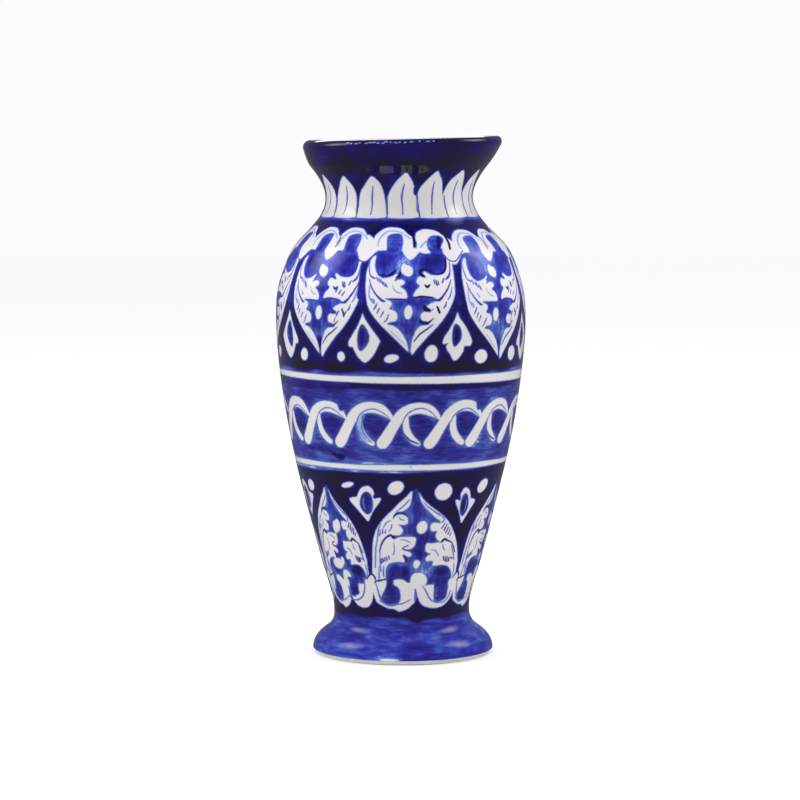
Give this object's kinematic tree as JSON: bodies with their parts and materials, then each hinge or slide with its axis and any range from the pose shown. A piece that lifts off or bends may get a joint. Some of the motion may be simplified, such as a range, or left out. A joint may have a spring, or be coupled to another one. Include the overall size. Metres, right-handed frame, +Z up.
{
  "type": "painted pottery vase",
  "caption": "Tall shouldered pottery vase with flared lip and spreading foot, hand-painted in cobalt blue on white under clear glaze.",
  "frame": {"origin": "centre of the foot ring, on the surface the vase stands on", "axes": "+Z up along the vase's turning axis, -Y towards the viewer of the painted front, +X to that viewer's right"},
  "size_m": [0.1484, 0.1484, 0.305],
  "materials": {
    "bare_clay": "matte",
    "luting_clay": "matte",
    "white_slip": "matte",
    "painted_glaze": "gloss",
    "white_glaze": "gloss"
  },
  "bodies": {
    "root": {"foot": "bare_clay", "lower_body": "bare_clay", "upper_body": "bare_clay", "neck": "bare_clay", "foot_luting": "luting_clay", "belly_luting": "luting_clay", "neck_luting": "luting_clay", "outer_slip": "white_slip", "inner_slip": "white_slip", "outer_glaze": "painted_glaze", "inner_glaze": "white_glaze"}
  },
  "joints": []
}
